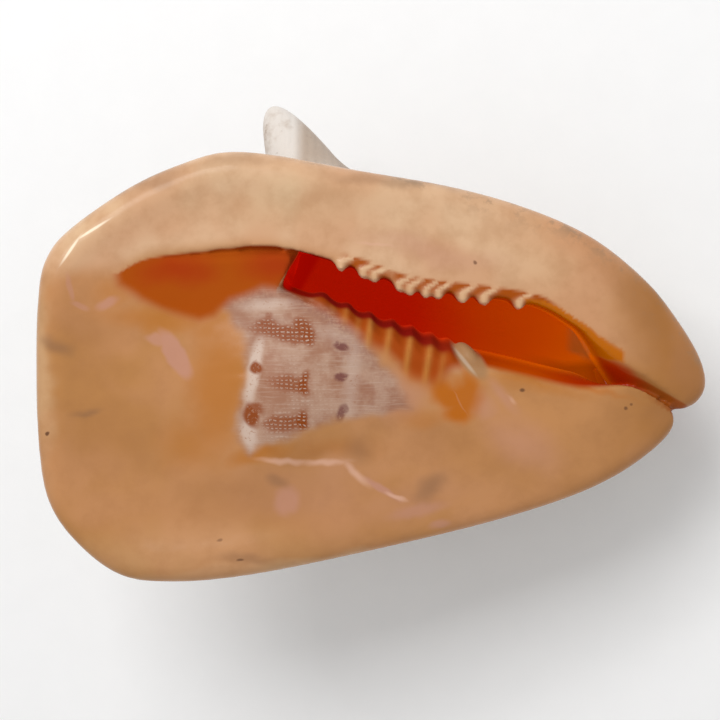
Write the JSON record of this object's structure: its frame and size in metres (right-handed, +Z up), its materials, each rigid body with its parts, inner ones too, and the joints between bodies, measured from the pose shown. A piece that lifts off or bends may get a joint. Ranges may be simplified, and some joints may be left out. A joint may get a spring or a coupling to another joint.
{
  "type": "conch shell",
  "caption": "Large horned helmet conch shell with a glazed orange shield and a toothed aperture, lying on its back.",
  "frame": {"origin": "middle of the bounding box, on the surface the shell lies on", "axes": "+X towards the siphonal canal, along the shield's length; +Y towards the outer lip and its horn; +Z up, out of the aperture. The shield leans 15 degrees, its canal end lower."},
  "size_m": [0.2444, 0.1878, 0.1443],
  "materials": {
    "shell": "gloss"
  },
  "bodies": {
    "root": {"shell": "shell"}
  },
  "joints": []
}
